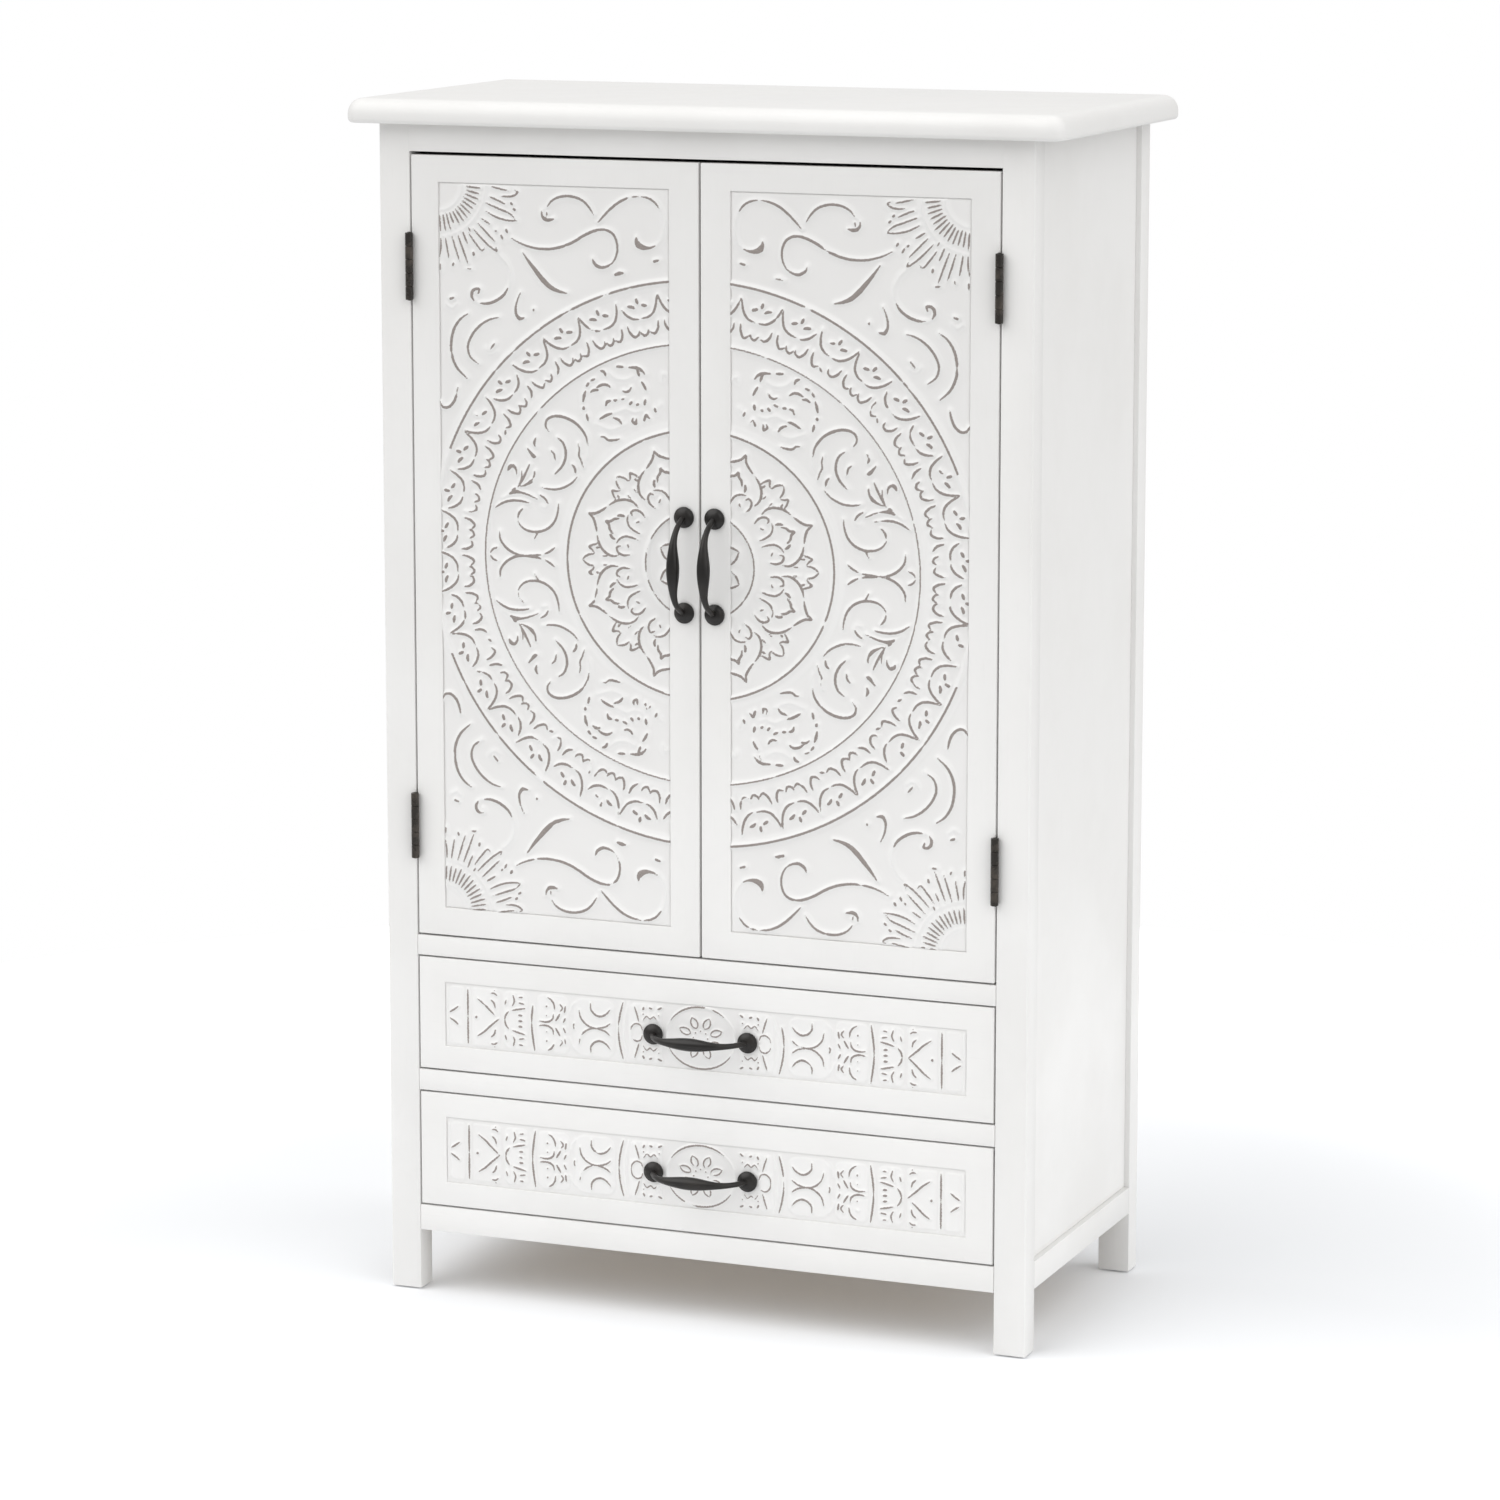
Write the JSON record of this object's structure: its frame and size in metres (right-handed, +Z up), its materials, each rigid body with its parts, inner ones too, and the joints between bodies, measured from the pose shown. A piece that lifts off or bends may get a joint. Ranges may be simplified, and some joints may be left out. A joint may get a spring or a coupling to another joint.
{
  "type": "armoire",
  "caption": "Free-standing painted wooden armoire with carved medallion doors over carved drawers, on short legs, with dark bow pull handles.",
  "frame": {"origin": "on the floor, under the middle of the whole piece, handles included", "axes": "+Z up, -Y out of the front, +X to the right as seen from the front"},
  "size_m": [0.8, 0.4212, 1.296],
  "materials": {
    "white_paint": "satin white paint, rubbed through on the carved lines",
    "pale_wood": "bare sanded wood",
    "dark_bronze": "satin dark bronze",
    "zinc_steel": "zinc plated",
    "black_plastic": "matte"
  },
  "bodies": {
    "root": {"top_board": "white_paint", "front_left_post": "white_paint", "front_right_post": "white_paint", "rear_left_post": "white_paint", "rear_right_post": "white_paint", "front_top_rail": "white_paint", "front_middle_rail": "white_paint", "front_drawer_rail": "white_paint", "front_bottom_rail": "white_paint", "left_side_panel": "white_paint", "right_side_panel": "white_paint", "left_side_rail": "white_paint", "right_side_rail": "white_paint", "back_panel": "white_paint", "rear_bottom_rail": "white_paint", "cabinet_floor": "white_paint", "lower_shelf": "white_paint", "upper_shelf": "white_paint", "magnetic_catch": "black_plastic", "upper_left_runner": "pale_wood", "upper_right_runner": "pale_wood", "lower_left_runner": "pale_wood", "lower_right_runner": "pale_wood", "left_lower_hinge_frame_leaf": "dark_bronze", "left_upper_hinge_frame_leaf": "dark_bronze", "right_lower_hinge_frame_leaf": "dark_bronze", "right_upper_hinge_frame_leaf": "dark_bronze"},
    "left_door": {"left_door_hinge_stile": "white_paint", "left_door_meeting_stile": "white_paint", "left_door_bottom_rail": "white_paint", "left_door_top_rail": "white_paint", "left_door_carved_panel": "white_paint", "left_lower_hinge_door_leaf": "dark_bronze", "left_upper_hinge_door_leaf": "dark_bronze", "left_door_handle": "dark_bronze", "left_door_strike_plate": "zinc_steel"},
    "right_door": {"right_door_hinge_stile": "white_paint", "right_door_meeting_stile": "white_paint", "right_door_bottom_rail": "white_paint", "right_door_top_rail": "white_paint", "right_door_carved_panel": "white_paint", "right_lower_hinge_door_leaf": "dark_bronze", "right_upper_hinge_door_leaf": "dark_bronze", "right_door_handle": "dark_bronze", "right_door_strike_plate": "zinc_steel"},
    "upper_drawer": {"upper_drawer_front": "white_paint", "upper_drawer_carved_strip": "white_paint", "upper_drawer_left_side": "pale_wood", "upper_drawer_right_side": "pale_wood", "upper_drawer_back": "pale_wood", "upper_drawer_bottom": "pale_wood", "upper_drawer_handle": "dark_bronze"},
    "lower_drawer": {"lower_drawer_front": "white_paint", "lower_drawer_carved_strip": "white_paint", "lower_drawer_left_side": "pale_wood", "lower_drawer_right_side": "pale_wood", "lower_drawer_back": "pale_wood", "lower_drawer_bottom": "pale_wood", "lower_drawer_handle": "dark_bronze"}
  },
  "joints": [
    {"name": "left_door_hinge", "type": "hinge", "parent": "root", "child": "left_door", "pos_m": [-0.33, -0.17585, 0.397], "axis": [0, 0, -1], "range_deg": [0, 110]},
    {"name": "right_door_hinge", "type": "hinge", "parent": "root", "child": "right_door", "pos_m": [0.33, -0.17585, 0.397], "axis": [0, 0, 1], "range_deg": [0, 110]},
    {"name": "upper_drawer_slide", "type": "slide", "parent": "root", "child": "upper_drawer", "axis": [0, -1, 0], "range_m": [0, 0.26]},
    {"name": "lower_drawer_slide", "type": "slide", "parent": "root", "child": "lower_drawer", "axis": [0, -1, 0], "range_m": [0, 0.26]}
  ]
}
